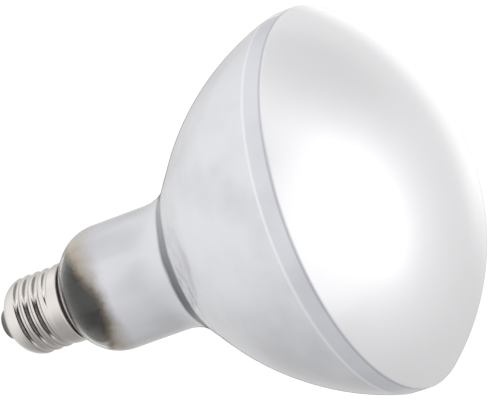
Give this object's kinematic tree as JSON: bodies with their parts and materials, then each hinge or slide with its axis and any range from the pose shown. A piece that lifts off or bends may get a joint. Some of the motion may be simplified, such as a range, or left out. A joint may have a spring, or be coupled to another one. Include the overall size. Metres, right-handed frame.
{
  "type": "reptile uvb bulb",
  "caption": "Self-ballasted mercury vapour reflector lamp with a silvered bowl, a domed frosted face, a clear band at the neck and a round-thread screw cap.",
  "frame": {"origin": "centre of the end face of the centre contact, the lamp's lowest point with the cap down", "axes": "+Z along the lamp axis from the cap to the domed face; +Y towards the side solder on the cap's rim; the arc tube's leads lie in the XZ plane"},
  "size_m": [0.127, 0.127, 0.168],
  "materials": {
    "nickel_plate": "nickel-plated, polished",
    "black_glass": "glossy black, opaque",
    "contact_brass": "satin",
    "solder": "dull",
    "cement": "matt",
    "envelope_glass": "silvered inside up to the band, frosted face, clear by the cap",
    "clear_glass": "clear",
    "quartz": "clear",
    "nickel_wire": "drawn",
    "tungsten": "matt grey",
    "foil_metal": "thin foil",
    "shield_sheet": "satin",
    "ceramic_body": "matt"
  },
  "bodies": {
    "root": {"screw_shell": "nickel_plate", "glass_insulator": "black_glass", "centre_contact": "contact_brass", "centre_solder": "solder", "side_solder": "solder", "basing_cement": "cement", "glass_envelope": "envelope_glass", "glass_stem": "clear_glass", "lead_wire_centre": "nickel_wire", "lead_wire_side": "nickel_wire", "frame_post": "nickel_wire", "filament_post": "nickel_wire", "filament_return": "nickel_wire", "ballast_filament": "tungsten", "filament_hooks": "tungsten", "hook_bead": "clear_glass", "bead_wire": "nickel_wire", "heat_shield": "shield_sheet", "shield_springs": "nickel_wire", "arc_tube": "quartz", "electrode_upper": "tungsten", "electrode_lower": "tungsten", "starting_probe": "tungsten", "foil_upper": "foil_metal", "foil_lower": "foil_metal", "foil_probe": "foil_metal", "outer_lead_upper": "nickel_wire", "outer_lead_lower": "nickel_wire", "outer_lead_probe": "nickel_wire", "strap_upper": "nickel_wire", "strap_lower": "nickel_wire", "starting_resistor": "ceramic_body", "getter": "nickel_wire"}
  },
  "joints": []
}
